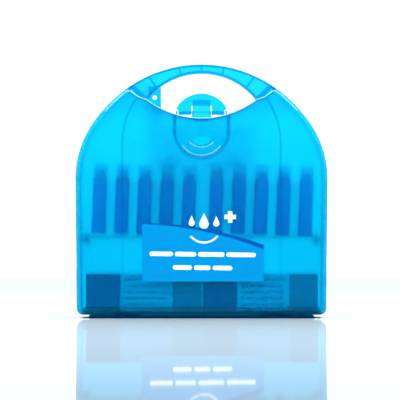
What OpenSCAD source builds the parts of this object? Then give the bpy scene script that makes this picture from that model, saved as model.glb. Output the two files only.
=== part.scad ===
// Eyewash station: an arch-topped polypropylene case in two shells that holds
// two rows of eyewash pods and two cartons of eye pads, and hangs on a wall bracket.
// The front faces -Y, the case stands on z = 0, and x = 0 is its middle.

/* [Case] */
// Width across the widest part
case_width = 254; // [250:1:320]
// Height from the feet to the top of the handle
case_height = 255; // [252:1:306]
// Depth of the two closed shells together
case_depth = 79; // [77:1:96]
// Depth of the front cover, out of the case depth
cover_depth = 34; // [32:1:36]
// Wall thickness of both shells
wall = 2.2; // [1.8:0.1:2.4]
// Height of the feet under the rear shell
foot_height = 3; // [3:0.5:4]
// Radius of the rounded front edge of the cover
front_round = 6.5; // [4:0.5:6.5]
// Lean of the side walls in degrees
side_lean = 0.6; // [0:0.1:1]

/* [Handle] */
// Depth of the handle from front to back
handle_depth = 32; // [26:1:36]
// Radius of the handle's inside edge
grip_radius = 70; // [66:1:72]
// Thickness of the handle at its top
handle_thick = 9; // [8:0.5:10]

/* [Cover] */
// Half width of the raised middle panel
panel_half = 79; // [76:1:82]
// Height of the step beside the middle panel
panel_step = 1.2; // [0.8:0.1:1.4]
// Half width of the finger recess under the latch
recess_half = 27; // [25:1:28]
// Depth of the finger recess
recess_depth = 17; // [14:1:18]

/* [Hinge and latch] */
// Radius of the hinge knuckles
knuckle_radius = 2.5; // [2.3:0.1:2.5]
// Radius of the hinge pins and of the latch pin
pin_radius = 1.2; // [1:0.1:1.3]
// Running clearance round each pin
pin_gap = 0.06; // [0.03:0.01:0.1]
// Width of the latch's thumb tab
latch_width = 50; // [48:1:52]
// Width of the latch's strap
strap_width = 18; // [16:0.5:19]

/* [Contents] */
// Width of one pod
pod_width = 14.5; // [13.5:0.5:15]
// Depth of one pod
pod_depth = 24; // [20:1:25]
// Spacing of the pods in a strip
pod_pitch = 22.5; // [21.5:0.25:22.5]
// Height of a pod's body
pod_body = 58; // [48:1:60]
// Height of the pod shelf above the feet
shelf_height = 80; // [70:1:81]
// Lean of the pod strips in degrees
pod_lean = 2; // [0:0.5:2.5]
// Height of the eye pad cartons
carton_height = 37; // [31:1:44]
// Length of one carton
carton_length = 115.5; // [100:0.5:116]

/* [Wall bracket] */
// Thickness of the bracket's plate
plate_thick = 3; // [2.5:0.5:3.5]
// Bore of the two screw holes
screw_bore = 4.5; // [4:0.1:5]
// Height that the case lifts to come off the bracket
lift_off = 8; // [6:1:9]

/* [Hidden] */
$fn = 64;
eps = 0.01;
gap = 0.3;
inner_step = 3;
label_thick = 0.25;
joint_gap = 0.15;
half = case_width / 2;
base = foot_height;
front_y = -(case_depth + plate_thick - label_thick) / 2;
parting_y = front_y + cover_depth;
back_y = front_y + case_depth;
// The outline's three arcs and its bottom corner run smoothly into each other.
crown_radius = 1.02 * half;
flank_radius = 1.26 * half;
shoulder_radius = 0.78 * half;
corner_radius = 7;
crown_angle = 43.2;
crown_z = case_height - crown_radius;
flank_x = (crown_radius - flank_radius) * sin(crown_angle);
flank_z = crown_z + (crown_radius - flank_radius) * cos(crown_angle);
flank_angle = asin((half - shoulder_radius - flank_x) / (flank_radius - shoulder_radius));
shoulder_x = flank_x + (flank_radius - shoulder_radius) * sin(flank_angle);
shoulder_z = flank_z + (flank_radius - shoulder_radius) * cos(flank_angle);
side_angle = 90 + side_lean;
side_length = (shoulder_z - (shoulder_radius - corner_radius) * sin(side_lean) - base - corner_radius)
    / cos(side_lean);
corner_x = shoulder_x + (shoulder_radius - corner_radius) * cos(side_lean) - side_length * sin(side_lean);
corner_z = base + corner_radius;
// The grip opening lies between the handle's inside circle and the hollow top edge.
grip_z = case_height - handle_thick - grip_radius;
top_radius = 91;
top_edge_z = case_height - 54;
top_z = top_edge_z + top_radius;
grip_corner_z = (top_z + grip_z - (top_radius * top_radius - grip_radius * grip_radius) / (top_z - grip_z)) / 2;
grip_corner_x = sqrt(grip_radius * grip_radius - pow(grip_corner_z - grip_z, 2));
handle_web = 2;
outer_rim = 1.6;
inner_rim = 2.5;
rib = 1.6;
// The latch turns on a pin just above the hollow top edge.
latch_y = parting_y + 5;
latch_z = top_edge_z + 5.4;
recess_z = top_edge_z - 13.5;
recess_y = front_y + recess_depth;
hook_bottom = top_edge_z - 4;
strap_thick = 2.2;
strap_front = recess_y - 1 - strap_thick;
strap_top = latch_z + 12.5;
// The hinge's axis is at the outside bottom edge of the parting line.
hinge_z = base;
hinge_inner = 62;
knuckle_long = [8, 11.4, 8];
hinge_spaces = 0.3;
hinge_length = knuckle_long[0] + knuckle_long[1] + knuckle_long[2] + 2 * hinge_spaces;
// The contents stand between the front wall and the rear wall.
inner_front = front_y + panel_step + wall;
inner_back = back_y - wall;
shelf_thick = 1.6;
shelf_front = inner_front + inner_step + 0.6;
lip = 5;
strip_half = 2 * pod_pitch + pod_width / 2;
pod_z = shelf_height + shelf_thick + gap;
pod_top = 12;
strip_x = half * 0.462;
front_row_y = inner_front + 6.2 + pod_depth / 2;
rear_row_y = front_row_y + pod_depth + 3;
tray_z = base + max(wall, knuckle_radius) + gap;
tray_thick = 1.2;
carton_z = tray_z + tray_thick + gap;
carton_card = 0.8;
carton_front = inner_front + 6.2;
carton_depth = 62;
label_left = -59.5;
label_wide = 122;
label_low = 37;
label_high = 95.5;
label_arc = 360;
// The bracket's plate is behind the rear wall.
bracket_y = back_y;
plate_half = 54;
ear_inner = 41;
ear_top = top_edge_z + 33;
ear_hole_x = 47.5;
ear_hole_z = top_edge_z + 21.5;
low_hole_z = 66;
plate_low = 88;
plate_high = top_edge_z - 6;
hook_x = 32;
hook_z = 150;
hook_width = 16;

// Stands a drawing in x and z up, thick from y_from to y_to.
module stand(y_from, y_to) {
    translate([0, y_to, 0])
        rotate([90, 0, 0])
            linear_extrude(y_to - y_from)
                children();
}

// Draws its children on both sides of x = 0.
module both_sides() {
    children();
    mirror([1, 0, 0])
        children();
}

// Points along an arc whose angles run from a to b, measured from +z toward +x
function arc(cx, cz, r, a, b, steps) = [
    for (i = [1:steps])
        let (t = a + (b - a) * i / steps)
            [cx + r * sin(t), cz + r * cos(t)]
];

// The right half of the case's outline, from the top down, smaller by inset
function half_outline(inset) = concat(
    [[0, case_height - inset]],
    arc(0, crown_z, crown_radius - inset, 0, crown_angle, 12),
    arc(flank_x, flank_z, flank_radius - inset, crown_angle, flank_angle, 3),
    arc(shoulder_x, shoulder_z, shoulder_radius - inset, flank_angle, side_angle, 10),
    [[corner_x + (corner_radius - inset) * cos(side_lean), corner_z - (corner_radius - inset) * sin(side_lean)]],
    arc(corner_x, corner_z, corner_radius - inset, side_angle, 180, 5)
);

function whole_outline(inset) =
    let (right = half_outline(inset))
        concat(right, [for (i = [len(right) - 1:-1:1]) [-right[i][0], right[i][1]]]);

module outline(inset) {
    polygon(whole_outline(inset));
}

// The outline made solid from y_back to y_front, with its front edge rounded in fine steps
module rounded_form(y_back, y_front, round_r) {
    steps = 5;
    for (i = [0:steps]) {
        t = 90 * i / steps;
        stand(y_front + round_r * (1 - sin(t)), y_back - i * eps)
            outline(round_r * (1 - cos(90 * min(i + 0.5, steps) / steps)) * (i > 0 ? 1 : 0));
    }
}

// The part of the x-z plane above the hollow top edge and above a line to (out_x, out_z),
// all moved down by drop.
module above_edge(out_x, out_z, drop) {
    translate([0, top_z])
        circle(top_radius + drop);
    far = half + 20;
    right = [
        [grip_corner_x, grip_corner_z - drop], [out_x, out_z - drop],
        [far, out_z - drop + (far - out_x) * 0.75], [far, case_height + 60]
    ];
    polygon(concat(right, [for (i = [len(right) - 1:-1:0]) [-right[i][0], right[i][1]]]));
}

// The same for the rear shell, whose line is the handle's end wall
module above_shell(drop) {
    above_edge(grip_corner_x + 12.2, grip_corner_z + 15.5, drop);
}

// The same for the cover, whose top edge has a knee
module above_cover(drop) {
    above_edge(grip_corner_x + 8.5, grip_corner_z + 2.9, drop);
}

// The recess under the latch, larger all round by more
module recess_shape(more) {
    translate([0, recess_z])
        circle(recess_half + more);
    translate([-recess_half - more, recess_z])
        square([2 * (recess_half + more), 40]);
}

// The raised middle panel, smaller all round by less
module panel_shape(less) {
    panel_top = top_edge_z - 26;
    translate([0, panel_top])
        circle(panel_half - less);
    translate([-panel_half + less, base + 3 + less])
        square([2 * (panel_half - less), panel_top - base - 3 - less]);
}

// A run of hinge knuckles along x. first says where the first one starts.
module knuckle(x_from, long, reach, side) {
    translate([x_from, parting_y, hinge_z]) {
        rotate([0, 90, 0])
            cylinder(h = long, r = knuckle_radius);
        translate([0, side > 0 ? 0 : -reach, -0.6])
            cube([long, reach, wall + 0.6]);
    }
}

// The room that a knuckle needs in the other shell
module knuckle_room(x_from, long, y_from, y_to) {
    translate([x_from - hinge_spaces, y_from, hinge_z - knuckle_radius - 1])
        cube([long + 2 * hinge_spaces, y_to - y_from, knuckle_radius * 2 + 1.6]);
}

module hinge_bore() {
    translate([hinge_inner - 2, parting_y, hinge_z])
        rotate([0, 90, 0])
            cylinder(h = hinge_length + 4, r = pin_radius + pin_gap);
}

mid_x = hinge_inner + knuckle_long[0] + hinge_spaces;
last_x = mid_x + knuckle_long[1] + hinge_spaces;
lug_reach = 5;

module rear_shell() {
    color([0.0, 0.78, 0.96, 0.75])
    difference() {
        union() {
            difference() {
                stand(parting_y + joint_gap, back_y)
                    outline(0);
                // The inside
                difference() {
                    stand(parting_y - 1, back_y - wall)
                        outline(wall);
                    stand(parting_y - 2, back_y)
                        above_shell(wall);
                }
                // The space behind the handle
                stand(parting_y + handle_depth, back_y + 1)
                    above_shell(0);
                // The grip opening
                stand(parting_y - 1, back_y + 1)
                    intersection() {
                        translate([0, grip_z])
                            circle(grip_radius);
                        translate([0, top_z])
                            circle(top_radius);
                    }
                // The handle's open channel
                stand(parting_y - 1, parting_y + handle_depth - handle_web)
                    channel_shape();
                // The bottom edge stays clear of the cover's edge as it turns
                translate([-half, parting_y - 1, base - 1])
                    cube([case_width, 1 + 0.6, wall + 1]);
                both_sides()
                    knuckle_room(mid_x, knuckle_long[1], parting_y - 1, parting_y + knuckle_radius + 0.5);
            }
            channel_ribs();
            both_sides() {
                knuckle(hinge_inner, knuckle_long[0], 6, 1);
                knuckle(last_x, knuckle_long[2], 6, 1);
                // The rail that carries the pod shelf
                translate([rail_x, parting_y + 6, shelf_height - 4 - gap])
                    cube([wall_x(shelf_height - 2) - rail_x, back_y - parting_y - 7, 4]);
            }
            // The lugs for the latch's pin
            both_sides()
                for (x = [8.2, 24.1])
                    latch_lug(x);
            // The pockets behind the bracket's hooks
            both_sides()
                translate([hook_x - hook_width / 2 - 3, back_y - 7.4, hook_z - lift_off - 4])
                    cube([hook_width + 6, 7.4, lift_off + 17.5]);
        }
        both_sides()
            hinge_bore();
        translate([-30, latch_y, latch_z])
            rotate([0, 90, 0])
                cylinder(h = 60, r = pin_radius + pin_gap);
        // The room round the latch's knuckles
        both_sides()
            translate([9.9, latch_y, latch_z])
                rotate([0, 90, 0])
                    cylinder(h = 13.4, r = latch_knuckle + 0.4);
        both_sides()
            hook_room();
        both_sides()
            translate([rail_x + 3.6, 0, 0])
                for (y = screw_rows)
                    translate([0, y, shelf_height - 8])
                        cylinder(h = 12, r = 1);
        foot_bores(rear_foot_y);
    }
}

// The holes in a shell's floor for the feet's stems
module foot_bores(y) {
    both_sides()
        translate([foot_x, y, base - 1])
            cylinder(h = wall + 2, r = 2.03);
}

rail_x = half - 14;
screw_rows = [parting_y + 12, back_y - 12];
rear_foot_y = back_y - 12;
cover_foot_y = front_y + 12;
foot_x = half - 24;
latch_knuckle = 2.3;

// How far out the inside of the side wall is at a height
function wall_x(z) = half - wall - (shoulder_z - z) * tan(side_lean);

// The lug on the hollow top edge that carries the latch's pin, from x on
module latch_lug(x) {
    translate([x, latch_y, latch_z])
        rotate([0, 90, 0])
            cylinder(h = 1.5, r = latch_knuckle);
    translate([x, latch_y - latch_knuckle, top_edge_z - wall / 2])
        cube([1.5, 2 * latch_knuckle, latch_z - top_edge_z + wall / 2]);
}

module channel_shape() {
    difference() {
        intersection() {
            translate([0, crown_z])
                circle(crown_radius - outer_rim);
            above_shell(-2.2);
        }
        translate([0, grip_z])
            circle(grip_radius + inner_rim);
    }
}

// The ribs across the handle's channel
module channel_ribs() {
    stand(parting_y + 1, parting_y + handle_depth - 1)
        intersection() {
            channel_band();
            union() {
                for (a = [-10, 0, 10])
                    channel_rib(a);
                both_sides()
                    translate([49, case_height - 18])
                        rotate(-37)
                            translate([-rib / 2, -15])
                                square([rib, 30]);
            }
        }
}

module channel_rib(a) {
    translate([0, crown_z])
        rotate(-a)
            translate([-rib / 2, crown_radius / 2])
                square([rib, crown_radius / 2]);
}

module channel_band() {
    difference() {
        translate([0, crown_z])
            circle(crown_radius - outer_rim / 2);
        translate([0, grip_z])
            circle(grip_radius + inner_rim / 2);
    }
}

module front_cover() {
    color([0.0, 0.82, 1.0, 0.7])
    difference() {
        union() {
            difference() {
                rounded_form(parting_y, front_y, front_round);
                cover_inside();
                both_sides() {
                    knuckle_room(hinge_inner, knuckle_long[0], parting_y - knuckle_radius - 0.5, parting_y + 1);
                    knuckle_room(last_x, knuckle_long[2], parting_y - knuckle_radius - 0.5, parting_y + 1);
                }
            }
            // The block that the recess is cut from
            stand(front_y + 1, recess_y + wall)
                recess_shape(wall);
            both_sides()
                knuckle(mid_x, knuckle_long[1], 6, -1);
        }
        // The hollow top edge
        stand(front_y - 1, parting_y + 1)
            above_cover(0);
        // The lower side panels beside the middle panel
        stand(front_y - 1, front_y + panel_step)
            difference() {
                translate([-half - 10, -10])
                    square([2 * half + 20, case_height + 20]);
                panel_shape(0);
            }
        // The recess, whose floor has a rib down its middle
        stand(front_y - 1, recess_y)
            difference() {
                recess_shape(0);
                recess_rib();
            }
        stand(front_y - 1, recess_y - 0.6)
            recess_shape(0);
        // The finger dimple and its window
        stand(recess_y - 0.3, recess_y + 0.9)
            difference() {
                translate([0, recess_z])
                    circle(15.5);
                recess_rib();
            }
        stand(recess_y - 2, recess_y + wall + 1)
            intersection() {
                translate([-7.75, recess_z - 12.5])
                    square([15.5, 7.5]);
                translate([0, recess_z])
                    circle(13.2);
            }
        foot_bores(cover_foot_y);
        both_sides()
            hinge_bore();
    }
}

module cover_inside() {
    difference() {
        union() {
            stand(inner_front + inner_step, parting_y + 1)
                outline(wall);
            stand(inner_front, parting_y + 1)
                outline(wall + inner_step);
        }
        stand(front_y - 1, parting_y + 2)
            above_cover(wall);
    }
}

// The rib down the middle of the recess, wider at its top
module recess_rib() {
    translate([-1, recess_z - 5])
        square([2, 30]);
    translate([-4, top_edge_z - 3])
        square([8, 12]);
}

module hinge_pin() {
    color([0.75, 0.77, 0.8])
    translate([hinge_inner, parting_y, hinge_z])
        rotate([0, 90, 0])
            cylinder(h = hinge_length, r = pin_radius);
}

module hinge_pin_left() {
    mirror([1, 0, 0])
        hinge_pin();
}

module hinge_pin_right() {
    hinge_pin();
}

// The outline of the latch's thumb tab
module tab_shape(less) {
    dome_z = top_edge_z - 4.5;
    intersection() {
        translate([0, dome_z])
            circle(29.3 - less);
        translate([-latch_width / 2 + less, latch_z - 2])
            square([latch_width - 2 * less, 40]);
        polygon([
            [-19, latch_z - 3], [19, latch_z - 3], [latch_width / 2 + 1, latch_z + 5],
            [latch_width / 2 + 1, latch_z + 40], [-latch_width / 2 - 1, latch_z + 40],
            [-latch_width / 2 - 1, latch_z + 5]
        ]);
    }
}

module latch() {
    tab_front = latch_y - 1.6;
    tab_back = latch_y + 1.6;
    color([0.0, 0.70, 0.92, 0.85])
    difference() {
        union() {
            stand(tab_front, tab_back)
                tab_shape(0);
            // The rim round the tab
            stand(tab_front - 1.6, tab_front)
                difference() {
                    tab_shape(0);
                    tab_shape(1.8);
                    translate([-40, 0])
                        square([80, latch_z + 5]);
                }
            both_sides()
                translate([10.2, latch_y, latch_z])
                    rotate([0, 90, 0])
                        cylinder(h = 12.8, r = latch_knuckle);
            // The thicker pads beside the strap
            both_sides()
                stand(tab_front - 0.8, tab_front)
                    translate([11.5, latch_z + 2.6])
                        square([8, 7.5]);
            // The strap over the cover's edge
            translate([-strap_width / 2, strap_front, strap_top - strap_thick])
                cube([strap_width, tab_front - strap_front + eps, strap_thick]);
            translate([-strap_width / 2, strap_front, hook_bottom + 4])
                cube([strap_width, strap_thick, strap_top - hook_bottom - 4]);
            stand(strap_front, strap_front + strap_thick)
                polygon([
                    [-strap_width / 2, hook_bottom + 4], [-strap_width / 3, hook_bottom],
                    [strap_width / 3, hook_bottom], [strap_width / 2, hook_bottom + 4]
                ]);
            // The lip at the hook's end
            translate([-strap_width / 3, strap_front - 0.8, hook_bottom])
                cube([strap_width * 2 / 3, 0.8, 2]);
        }
        // The gap between the two wings, behind the strap
        translate([-10.2, latch_y - 4, latch_z - 5])
            cube([20.4, 8, 12]);
        translate([-30, latch_y, latch_z])
            rotate([0, 90, 0])
                cylinder(h = 60, r = pin_radius + pin_gap);
    }
}

module latch_pin() {
    color([0.75, 0.77, 0.8])
    translate([-25.8, latch_y, latch_z])
        rotate([0, 90, 0])
            cylinder(h = 51.6, r = pin_radius);
}

// The room that one of the bracket's hooks needs in the rear wall
module hook_room() {
    translate([hook_x - hook_width / 2 - 0.5, back_y - 5.4, hook_z - 1.5 - lift_off])
        cube([hook_width + 1, 6.4, 4.8 + lift_off]);
    translate([hook_x - hook_width / 2 - 0.5, back_y - 5.4, hook_z])
        cube([hook_width + 1, 5.4 - wall, 10.6]);
}

module wall_bracket() {
    color([0.0, 0.66, 0.88, 0.85])
    difference() {
        union() {
            stand(bracket_y + 0.2, bracket_y + plate_thick)
                union() {
                    translate([-plate_half, plate_low])
                        square([2 * plate_half, plate_high - plate_low]);
                    translate([-plate_half, plate_high - eps])
                        square([plate_half - ear_inner, ear_top - plate_high + eps]);
                    translate([ear_inner, low_hole_z - 12])
                        square([plate_half - ear_inner, plate_low - low_hole_z + 12 + eps]);
                }
            // The hooks
            both_sides() {
                translate([hook_x - hook_width / 2, back_y - 1.5 - wall, hook_z - 1])
                    cube([hook_width, wall + 2, 4]);
                translate([hook_x - hook_width / 2, back_y - 1.9 - wall, hook_z - 1])
                    cube([hook_width, 1.6, 11]);
            }
        }
        for (p = [[-ear_hole_x, ear_hole_z], [ear_hole_x, low_hole_z]])
            translate([p[0], bracket_y + plate_thick + 1, p[1]])
                rotate([90, 0, 0])
                    cylinder(h = 12, r = screw_bore / 2);
    }
}

// Two feet pressed into the floor of a shell, one on each side
module foot_pair(y) {
    color([0.05, 0.25, 0.4])
    both_sides()
        translate([foot_x, y, 0]) {
            cylinder(h = base, r = 4);
            cylinder(h = base + wall, r = 2);
        }
}

module rear_feet() {
    foot_pair(rear_foot_y);
}

// The rubber strip under the cover's front edge, pressed in by its two stems
module cover_feet() {
    color([0.05, 0.25, 0.4])
    union() {
        translate([-foot_x - 8, cover_foot_y - 2, 0])
            cube([2 * foot_x + 16, 4, base]);
        both_sides() {
            translate([foot_x + 8, cover_foot_y, 0])
                cylinder(h = base, r = 2);
            translate([foot_x, cover_foot_y, 0])
                cylinder(h = base + wall, r = 2);
        }
    }
}

module pod_shelf() {
    shelf_half = wall_x(shelf_height) - 1.2;
    color([0.55, 0.88, 1.0, 0.6])
    difference() {
        union() {
            translate([-shelf_half, shelf_front, shelf_height])
                cube([2 * shelf_half, inner_back - gap - shelf_front, shelf_thick]);
            translate([-shelf_half, shelf_front, shelf_height])
                cube([2 * shelf_half, 1.4, lip]);
            // The rib between the two rows of pods
            translate([-shelf_half + 8, front_row_y + pod_depth / 2 + 0.8, shelf_height])
                cube([2 * shelf_half - 16, 1.4, lip]);
            translate([-shelf_half + 8, rear_row_y + pod_depth / 2 + 0.8, shelf_height])
                cube([2 * shelf_half - 16, 1.4, lip]);
        }
        both_sides()
            for (y = screw_rows)
                translate([rail_x + 3.6, y, shelf_height - 1])
                    cylinder(h = 6, r = 1.6);
    }
}

module shelf_screws() {
    color([0.78, 0.79, 0.8])
    both_sides()
        for (y = screw_rows)
            translate([rail_x + 3.6, y, shelf_height - 7]) {
                cylinder(h = 8, r = 0.98);
                translate([0, 0, 7 + shelf_thick + 0.05])
                    cylinder(h = 1.6, r = 2.6);
                translate([0, 0, 7])
                    cylinder(h = shelf_thick + 0.1, r = 0.98);
            }
}

module carton_tray() {
    tray_half = corner_x - 3;
    color([0.55, 0.88, 1.0, 0.6])
    translate([-tray_half, shelf_front, tray_z])
        union() {
            cube([2 * tray_half, inner_back - gap - shelf_front, tray_thick]);
            cube([2 * tray_half, 1.4, lip]);
        }
}

// One sealed pod standing at the origin: a flat-sided body, shoulders, a neck and a twist-off tab
module pod() {
    side = pod_depth - pod_width;
    linear_extrude(pod_body)
        pod_section(pod_width / 2, side);
    translate([0, 0, pod_body - eps])
        linear_extrude(2.4)
            pod_section(pod_width / 2 - 2, side);
    translate([0, 0, pod_body])
        cylinder(h = 7, r1 = 5, r2 = 2.6);
    translate([-6.6, -0.6, pod_body + 3.5])
        cube([13.2, 1.2, pod_top - 3.5]);
    translate([-6.6, -1.5, pod_body + pod_top - 2.2])
        cube([13.2, 3, 2.2]);
}

module pod_section(r, side) {
    square([2 * r, side], center = true);
    for (y = [-side / 2, side / 2])
        translate([0, y])
            circle(r);
}

// Five pods joined by thin webs
module pod_strip(x, y) {
    color([0.0, 0.5, 0.78, 0.8])
    translate([x, y, pod_z + strip_half * sin(pod_lean)])
        rotate([0, pod_lean, 0]) {
            for (i = [-2:2])
                translate([i * pod_pitch, 0, 0])
                    pod();
            translate([-2 * pod_pitch, -0.6, 2])
                cube([4 * pod_pitch, 1.2, pod_body - 8]);
        }
}

module pod_strip_front_left() {
    pod_strip(-strip_x, front_row_y);
}

module pod_strip_front_right() {
    pod_strip(strip_x, front_row_y);
}

module pod_strip_rear_left() {
    pod_strip(-strip_x, rear_row_y);
}

module pod_strip_rear_right() {
    pod_strip(strip_x, rear_row_y);
}

// A closed card box
module carton(x_from) {
    color([0.1, 0.55, 0.75])
    translate([x_from, carton_front, carton_z])
        difference() {
            cube([carton_length, carton_depth, carton_height]);
            translate([carton_card, carton_card, carton_card])
                cube([carton_length - 2 * carton_card, carton_depth - 2 * carton_card,
                    carton_height - 2 * carton_card]);
        }
}

carton_x = -0.5 + 1.4;

module carton_left() {
    carton(-carton_x - carton_length + 0.5);
}

module carton_right() {
    carton(carton_x + 0.5);
}

// A stack of wrapped eye pads inside a carton
module eye_pads(x_from) {
    color([0.93, 0.96, 0.96])
    for (i = [0:3])
        translate([x_from + 6, carton_front + 5, carton_z + carton_card + gap + i * 8.2])
            cube([carton_length - 12, carton_depth - 10, 7.9]);
}

module eye_pads_left() {
    eye_pads(-carton_x - carton_length + 0.5);
}

module eye_pads_right() {
    eye_pads(carton_x + 0.5);
}

// The sticker on the middle panel, whose top edge falls away to the right in an arc
module label() {
    color([0.0, 0.55, 0.85])
    stand(front_y - label_thick, front_y)
        intersection() {
            translate([label_left, label_low])
                square([label_wide, 80]);
            translate([label_left - 2, label_high - label_arc])
                circle(label_arc);
        }
}

rear_shell();
front_cover();
hinge_pin_left();
hinge_pin_right();
latch();
latch_pin();
wall_bracket();
rear_feet();
cover_feet();
pod_shelf();
shelf_screws();
carton_tray();
pod_strip_front_left();
pod_strip_front_right();
pod_strip_rear_left();
pod_strip_rear_right();
carton_left();
carton_right();
eye_pads_left();
eye_pads_right();
label();
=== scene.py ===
"""Looks of the eyewash station: a translucent case with its latch, pods, cartons and sticker.

Lengths are written in millimetres and turned to metres where a mesh is made. The front faces -Y,
the case stands on z = 0 and x = 0 is its middle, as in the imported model.
"""
import math

import bmesh
import bpy
import numpy as np
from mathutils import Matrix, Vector


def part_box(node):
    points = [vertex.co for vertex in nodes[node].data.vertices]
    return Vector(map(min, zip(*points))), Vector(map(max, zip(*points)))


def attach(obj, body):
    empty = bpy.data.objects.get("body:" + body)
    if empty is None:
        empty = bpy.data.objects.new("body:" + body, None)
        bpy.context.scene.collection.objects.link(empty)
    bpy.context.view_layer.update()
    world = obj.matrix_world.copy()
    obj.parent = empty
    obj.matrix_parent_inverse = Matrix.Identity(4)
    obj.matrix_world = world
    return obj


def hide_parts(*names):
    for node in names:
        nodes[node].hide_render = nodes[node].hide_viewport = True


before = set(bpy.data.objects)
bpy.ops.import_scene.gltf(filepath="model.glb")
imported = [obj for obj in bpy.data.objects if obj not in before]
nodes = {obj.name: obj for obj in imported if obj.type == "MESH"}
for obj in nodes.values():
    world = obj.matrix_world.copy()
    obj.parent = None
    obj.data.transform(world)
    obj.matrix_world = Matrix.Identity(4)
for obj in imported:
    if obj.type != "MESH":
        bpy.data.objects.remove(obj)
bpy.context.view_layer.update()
scene = bpy.context.scene
MM = 0.001


def span(node):
    """Lowest and highest corner of a CAD node, in millimetres."""
    low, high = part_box(node)
    return np.array(low) / MM, np.array(high) / MM


# ---------------------------------------------------------------- places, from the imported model
rear_high = span("rear_shell")[1]
label_low, label_high = span("label")
FRONT = label_high[1]
BACK = rear_high[1]
TOP = rear_high[2]
HALF = rear_high[0]
PARTING = FRONT + 34.0
BASE = 3.0
WALL = 2.2
LEAN = math.radians(0.6)
CROWN_R = 1.02 * HALF
FLANK_R = 1.26 * HALF
SHOULDER_R = 0.78 * HALF
CORNER_R = 7.0
CROWN_A = math.radians(43.2)
CROWN_Z = TOP - CROWN_R
FLANK_X = (CROWN_R - FLANK_R) * math.sin(CROWN_A)
FLANK_Z = CROWN_Z + (CROWN_R - FLANK_R) * math.cos(CROWN_A)
FLANK_A = math.asin((HALF - SHOULDER_R - FLANK_X) / (FLANK_R - SHOULDER_R))
SHOULDER_X = FLANK_X + (FLANK_R - SHOULDER_R) * math.sin(FLANK_A)
SHOULDER_Z = FLANK_Z + (FLANK_R - SHOULDER_R) * math.cos(FLANK_A)
SIDE_A = math.pi / 2 + LEAN
SIDE_LONG = (SHOULDER_Z - (SHOULDER_R - CORNER_R) * math.sin(LEAN) - BASE - CORNER_R) / math.cos(LEAN)
CORNER_X = SHOULDER_X + (SHOULDER_R - CORNER_R) * math.cos(LEAN) - SIDE_LONG * math.sin(LEAN)
CORNER_Z = BASE + CORNER_R
GRIP_R = 70.0
GRIP_Z = TOP - 9.0 - GRIP_R
EDGE_R = 91.0
EDGE_Z = TOP - 54.0
EDGE_CENTRE = EDGE_Z + EDGE_R
GRIP_CORNER_Z = (EDGE_CENTRE + GRIP_Z - (EDGE_R ** 2 - GRIP_R ** 2) / (EDGE_CENTRE - GRIP_Z)) / 2
GRIP_CORNER_X = math.sqrt(GRIP_R ** 2 - (GRIP_CORNER_Z - GRIP_Z) ** 2)
PANEL_HALF = 79.0
PANEL_STEP = 1.2
RECESS_HALF = 27.0
RECESS_Z = EDGE_Z - 13.5
RECESS_Y = FRONT + 17.0
INNER_FRONT = FRONT + PANEL_STEP + WALL
FRONT_ROUND = 6.5
TAPER = 0.9
PANEL_TOP = EDGE_Z - 26
KNEE_X = GRIP_CORNER_X + 8.5
KNEE_Z = GRIP_CORNER_Z + 2.9
SHOULDER_RISE = 0.75
RECESS_FLOOR = RECESS_Y - 0.6
DIMPLE_R = 15.9
WINDOW_HALF = 7.75
WINDOW_R = 13.2
WINDOW_TOP = RECESS_Z - 5.5
RUN_GAP = 0.3
REAR_KNUCKLE_X = 62.0
REAR_KNUCKLE_LONG = 8
COVER_KNUCKLE_X = REAR_KNUCKLE_X + REAR_KNUCKLE_LONG + RUN_GAP
COVER_KNUCKLE_LONG = 11.4
KNUCKLE_R = 2.5
PIN_BORE_R = 1.26
FOOT_X = 103.0
FOOT_Y = FRONT + 12
STEM_BORE_R = 2.03
POD_PITCH = 22.5
POD_LEAN = math.radians(2)
LABEL_LEFT, LABEL_RIGHT, LABEL_LOW = -59.5, 62.5, 37
LABEL_ARC_X, LABEL_ARC_TOP, LABEL_ARC_R = -61.5, 95.5, 360


# ---------------------------------------------------------------- mesh helpers
def grid_quads(rows, cols, ring=True):
    """Quads between neighbouring rows of a rows by cols grid; a ring closes each row on itself."""
    r = np.arange(rows - 1)[:, None]
    c = np.arange(cols if ring else cols - 1)[None, :]
    n = (c + 1) % cols
    return np.stack([r * cols + c, r * cols + n, (r + 1) * cols + n, (r + 1) * cols + c], -1).reshape(-1, 4)


def loft(rings):
    """A closed solid through rings of equal length, each an array of points, with a face over each end."""
    rings = np.asarray(rings, float)
    rows, cols = rings.shape[:2]
    faces = grid_quads(rows, cols).tolist()
    faces.append(list(range(cols))[::-1])
    faces.append([(rows - 1) * cols + i for i in range(cols)])
    return rings.reshape(-1, 3), faces


def raw_mesh(name, verts, faces):
    """A mesh in metres from points in millimetres, with its faces turned outwards."""
    mesh = bpy.data.meshes.new(name)
    mesh.from_pydata((np.asarray(verts, float) * MM).tolist(), [], [list(f) for f in faces])
    mesh.update()
    work = bmesh.new()
    work.from_mesh(mesh)
    bmesh.ops.recalc_face_normals(work, faces=work.faces)
    work.to_mesh(mesh)
    work.free()
    return mesh


def stand_ring(points, y):
    """Points drawn in x and z, stood up at y."""
    points = np.asarray(points, float)
    return np.stack([points[:, 0], np.broadcast_to(np.asarray(y, float), len(points)), points[:, 1]], -1)


def prism(points, y_from, y_to, points_to=None):
    """A drawing in x and z carried from y_from to y_to, where it may have grown into points_to."""
    return loft([stand_ring(points, y_from), stand_ring(points if points_to is None else points_to, y_to)])


def boolean(mesh, other, how):
    """mesh joined with, less or kept inside other; both are closed."""
    a = bpy.data.objects.new("work_a", mesh)
    b = bpy.data.objects.new("work_b", other)
    for o in (a, b):
        scene.collection.objects.link(o)
    m = a.modifiers.new("cut", "BOOLEAN")
    m.operation = how
    m.solver = "MANIFOLD"
    m.object = b
    bpy.context.view_layer.update()
    done = bpy.data.meshes.new_from_object(a.evaluated_get(bpy.context.evaluated_depsgraph_get()))
    bpy.data.objects.remove(a)
    bpy.data.objects.remove(b)
    return done


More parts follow.
